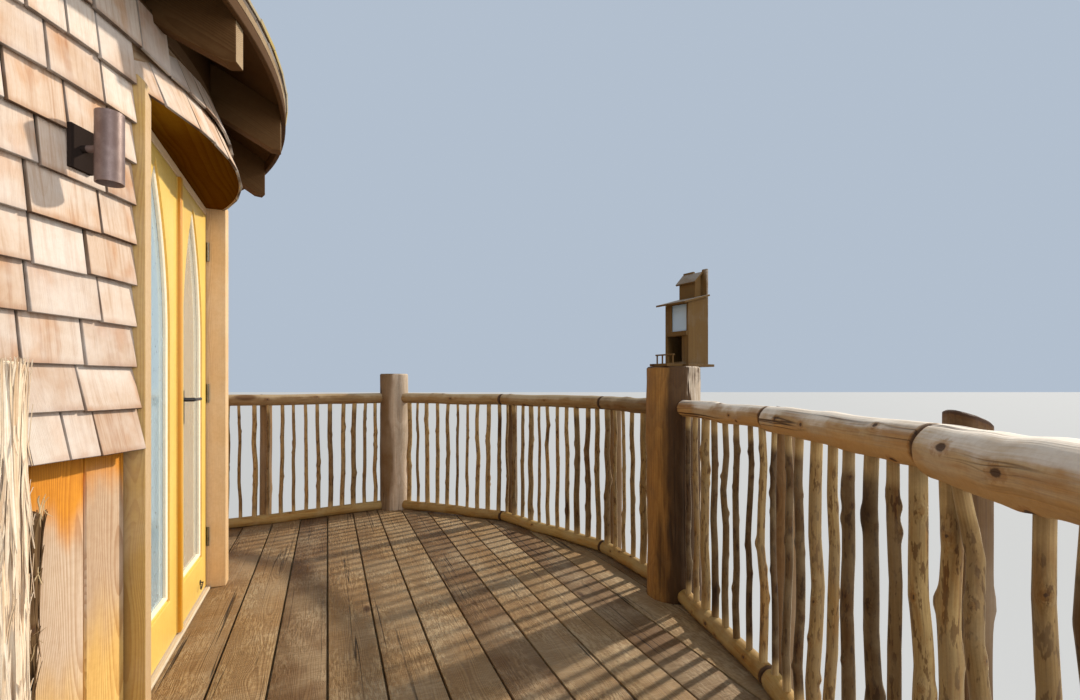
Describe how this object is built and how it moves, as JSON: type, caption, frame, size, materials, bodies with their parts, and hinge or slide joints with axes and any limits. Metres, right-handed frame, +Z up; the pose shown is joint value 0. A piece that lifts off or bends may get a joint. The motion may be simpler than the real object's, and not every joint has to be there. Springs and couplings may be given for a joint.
{
  "type": "tree house",
  "caption": "Round cedar-shingled cabin on log stilts with a conical roof, glazed double doors and a curved deck fenced by a rustic log balustrade.",
  "frame": {"origin": "on the ground under the centre of the round cabin, at the foot of the middle stilt", "axes": "+Z up, the double door faces -Y, +X to the right of a person who looks along +Y at the door"},
  "size_m": [4.83, 6.6612, 5.6548],
  "materials": {
    "log": "peeled round log, honey and grey-brown, with cracks and knots",
    "framing": "sawn framing timber, dark brown",
    "deck_board": "weathered wide boards",
    "wall_shingle": "weathered cedar shingles",
    "roof_shingle": "cedar roof shingles",
    "jamb_wood": "oiled pale wood",
    "door_paint": "yellow stained wood",
    "glass": "clear double glazing",
    "ironmongery": "dull steel",
    "bronze": "dark bronze-brown satin",
    "bird_board": "thin stained boards"
  },
  "bodies": {
    "root": {"cabin_stilts": "log", "beams": "framing", "joists": "framing", "cabin_floor": "deck_board", "rim_board": "framing", "deck_floor": "deck_board", "main_post": "log", "corner_posts": "log", "outer_posts": "log", "wall_newel": "log", "balustrade_1": "log", "balustrade_2": "log", "balustrade_3": "log", "balustrade_4": "log", "balustrade_5": "log", "balustrade_6": "log", "balustrade_7": "log", "wall_1": "wall_shingle", "wall_2": "wall_shingle", "wall_3": "wall_shingle", "wall_4": "wall_shingle", "wall_5": "wall_shingle", "wall_6": "wall_shingle", "wall_7": "wall_shingle", "wall_8": "wall_shingle", "door_hood": "wall_shingle", "door_head": "jamb_wood", "left_jamb": "jamb_wood", "right_jamb": "jamb_wood", "threshold": "jamb_wood", "door_hinges": "ironmongery", "wall_plate": "framing", "rafters": "framing", "eave_blocking": "framing", "roof_hub": "log", "roof_boards": "framing", "roof_shingles": "roof_shingle", "eave_fascia": "framing", "wall_lamp": "bronze", "bird_house": "bird_board"},
    "left_leaf": {"left_door": "door_paint", "left_glass": "glass", "left_hinge_leaves": "ironmongery"},
    "right_leaf": {"right_door": "door_paint", "right_glass": "glass", "door_handle": "ironmongery", "right_hinge_leaves": "ironmongery"}
  },
  "joints": [
    {"name": "left_door_hinge", "type": "hinge", "parent": "root", "child": "left_leaf", "pos_m": [-0.592, -1.878, 2], "axis": [0, 0, -1], "range_deg": [0, 90]},
    {"name": "right_door_hinge", "type": "hinge", "parent": "root", "child": "right_leaf", "pos_m": [0.592, -1.878, 2], "axis": [0, 0, 1], "range_deg": [0, 90]}
  ]
}
